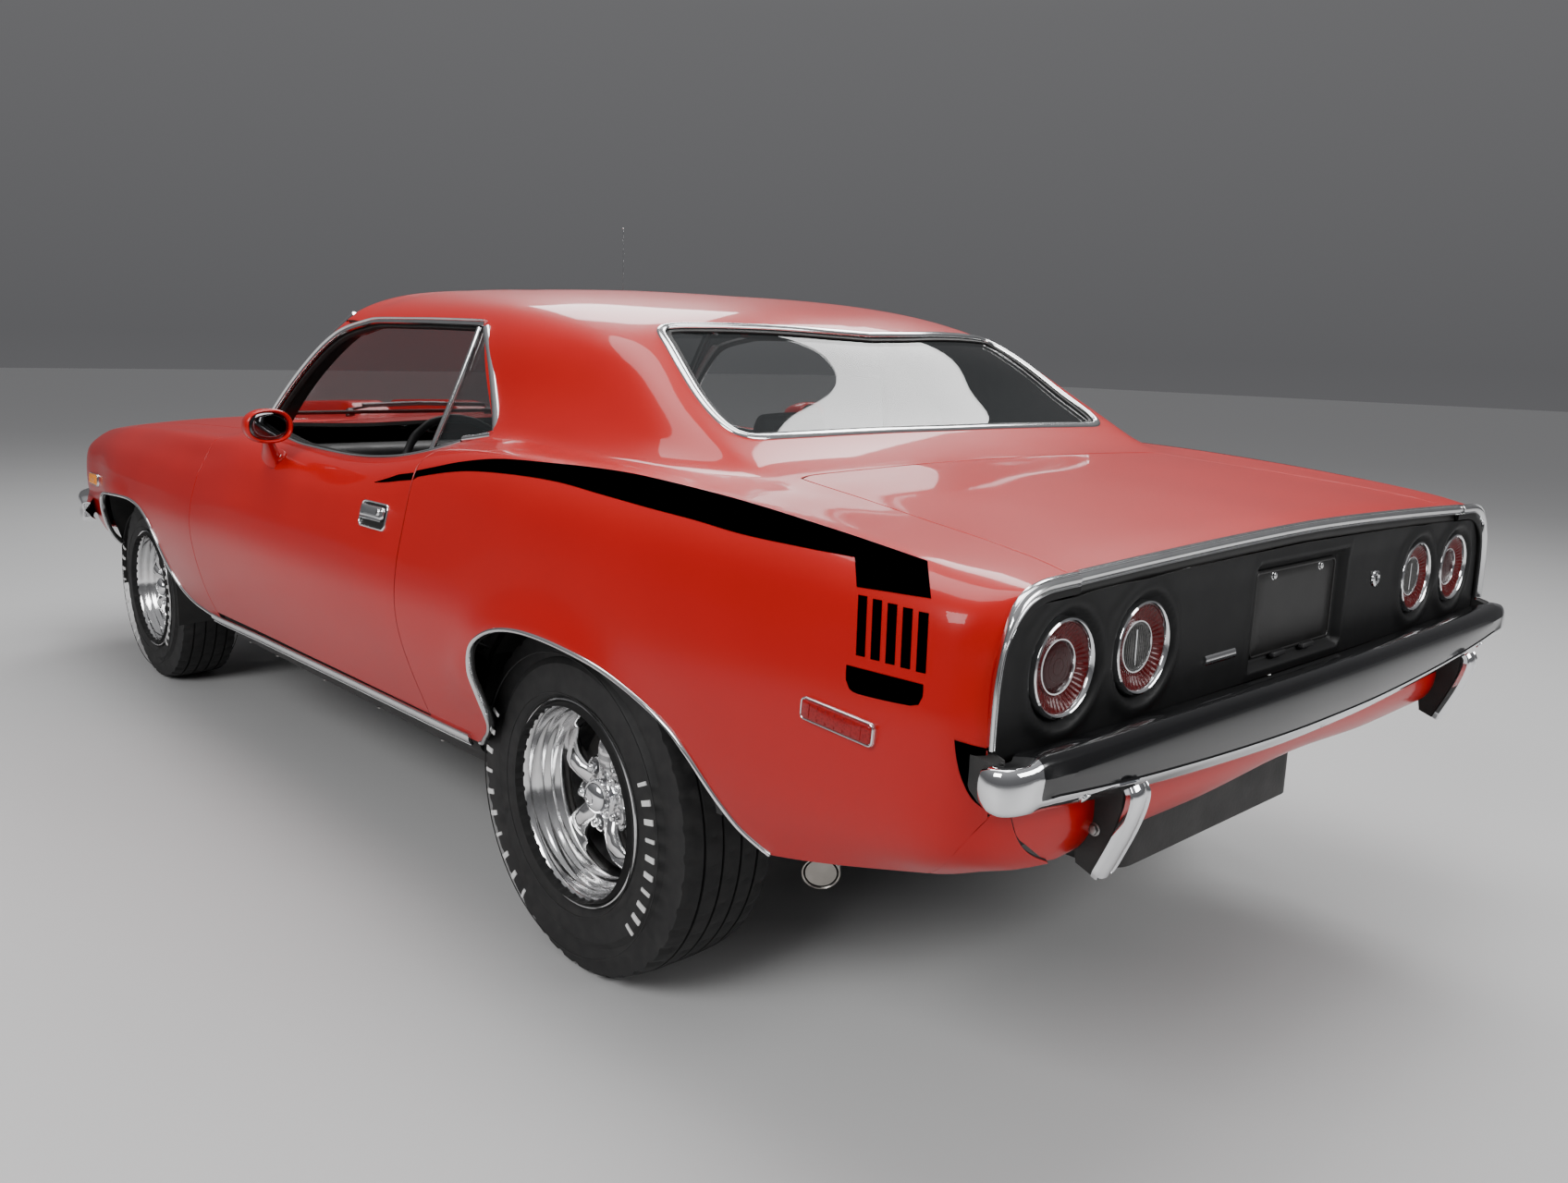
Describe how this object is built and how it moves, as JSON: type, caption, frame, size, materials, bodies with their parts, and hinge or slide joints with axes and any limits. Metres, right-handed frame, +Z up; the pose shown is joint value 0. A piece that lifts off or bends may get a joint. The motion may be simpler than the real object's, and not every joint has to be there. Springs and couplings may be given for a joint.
{
  "type": "two-door hardtop muscle car",
  "caption": "Two-door hardtop coupe with a long hood, short deck and round tail lamps; wheels roll and steer, doors, hood and deck lid open.",
  "frame": {"origin": "on the floor, under the middle of the bounding box", "axes": "+X forward, +Y to the car's left, +Z up"},
  "size_m": [4.74, 1.986, 1.644],
  "materials": {
    "body_paint": "gloss",
    "black_paint": "satin",
    "structure_paint": "matte",
    "chrome_trim": "polished",
    "wheel_metal": "polished",
    "tyre": "matte",
    "glass": "clear",
    "lamp_red": "gloss",
    "lamp_clear": "clear",
    "black_plastic": "matte",
    "seat_cover": "satin",
    "bare_steel": "satin",
    "cast_iron": "matte",
    "engine_paint": "satin"
  },
  "bodies": {
    "body": {"roof": "body_paint", "quarter_panel_left": "body_paint", "quarter_panel_right": "body_paint", "fender_left": "body_paint", "fender_right": "body_paint", "nose": "body_paint", "rear_valance": "body_paint", "rockers": "body_paint", "cowl": "body_paint", "floor_pan": "structure_paint", "front_structure": "structure_paint", "tail_panel": "black_paint", "tail_lamps": "lamp_red", "headlamps": "lamp_clear", "grille": "black_plastic", "front_bumper": "chrome_trim", "rear_bumper": "chrome_trim", "windshield": "glass", "back_window": "glass", "quarter_glasses": "glass", "antenna": "chrome_trim", "dashboard": "black_plastic", "front_seats": "seat_cover", "rear_seat": "seat_cover", "engine": "engine_paint", "drive_shaft": "bare_steel", "rear_axle": "cast_iron", "exhaust": "bare_steel", "fuel_tank": "bare_steel", "front_suspension": "cast_iron"},
    "hood": {"hood": "body_paint"},
    "deck_lid": {"deck_lid": "body_paint"},
    "door_left": {"door_left": "body_paint", "mirror_left": "body_paint"},
    "door_right": {"door_right": "body_paint", "mirror_right": "body_paint"},
    "steering_wheel": {"steering_wheel": "black_plastic"},
    "knuckle_left": {"knuckle_left": "cast_iron"},
    "knuckle_right": {"knuckle_right": "cast_iron"},
    "wheel_front_left": {"wheel_front_left": "wheel_metal", "tyre_front_left": "tyre"},
    "wheel_front_right": {"wheel_front_right": "wheel_metal", "tyre_front_right": "tyre"},
    "wheel_rear_left": {"wheel_rear_left": "wheel_metal", "tyre_rear_left": "tyre"},
    "wheel_rear_right": {"wheel_rear_right": "wheel_metal", "tyre_rear_right": "tyre"}
  },
  "joints": [
    {"name": "hood_hinge", "type": "hinge", "parent": "body", "child": "hood", "pos_m": [0.677, 0, 0.952], "axis": [0, -1, 0], "range_deg": [0, 50]},
    {"name": "deck_lid_hinge", "type": "hinge", "parent": "body", "child": "deck_lid", "pos_m": [-1.646, 0, 0.992], "axis": [0, 1, 0], "range_deg": [0, 60]},
    {"name": "door_left_hinge", "type": "hinge", "parent": "body", "child": "door_left", "pos_m": [0.64, 0.928, 0.65], "axis": [0, 0, -1], "range_deg": [0, 65]},
    {"name": "door_right_hinge", "type": "hinge", "parent": "body", "child": "door_right", "pos_m": [0.64, -0.928, 0.65], "axis": [0, 0, 1], "range_deg": [0, 65]},
    {"name": "steering_left", "type": "hinge", "parent": "body", "child": "knuckle_left", "pos_m": [1.453, 0.6, 0.322], "axis": [0, 0, 1], "range_deg": [-32, 32]},
    {"name": "steering_right", "type": "hinge", "parent": "body", "child": "knuckle_right", "pos_m": [1.453, -0.6, 0.322], "axis": [0, 0, 1], "range_deg": [-32, 32]},
    {"name": "steering_wheel_turn", "type": "hinge", "parent": "body", "child": "steering_wheel", "pos_m": [0, 0.37, 0.828], "axis": [-0.9135, 0, 0.4067], "range_deg": [-520, 520]},
    {"name": "wheel_front_left_spin", "type": "hinge", "parent": "knuckle_left", "child": "wheel_front_left", "pos_m": [1.453, 0.722, 0.322], "axis": [0, 1, 0], "continuous": true},
    {"name": "wheel_front_right_spin", "type": "hinge", "parent": "knuckle_right", "child": "wheel_front_right", "pos_m": [1.453, -0.722, 0.322], "axis": [0, 1, 0], "continuous": true},
    {"name": "wheel_rear_left_spin", "type": "hinge", "parent": "body", "child": "wheel_rear_left", "pos_m": [-1.29, 0.75, 0.347], "axis": [0, 1, 0], "continuous": true},
    {"name": "wheel_rear_right_spin", "type": "hinge", "parent": "body", "child": "wheel_rear_right", "pos_m": [-1.29, -0.75, 0.347], "axis": [0, 1, 0], "continuous": true}
  ],
  "couplings": [
    {"joint": "steering_right", "follows": "steering_left", "ratio": 1},
    {"joint": "steering_wheel_turn", "follows": "steering_left", "ratio": 16}
  ]
}
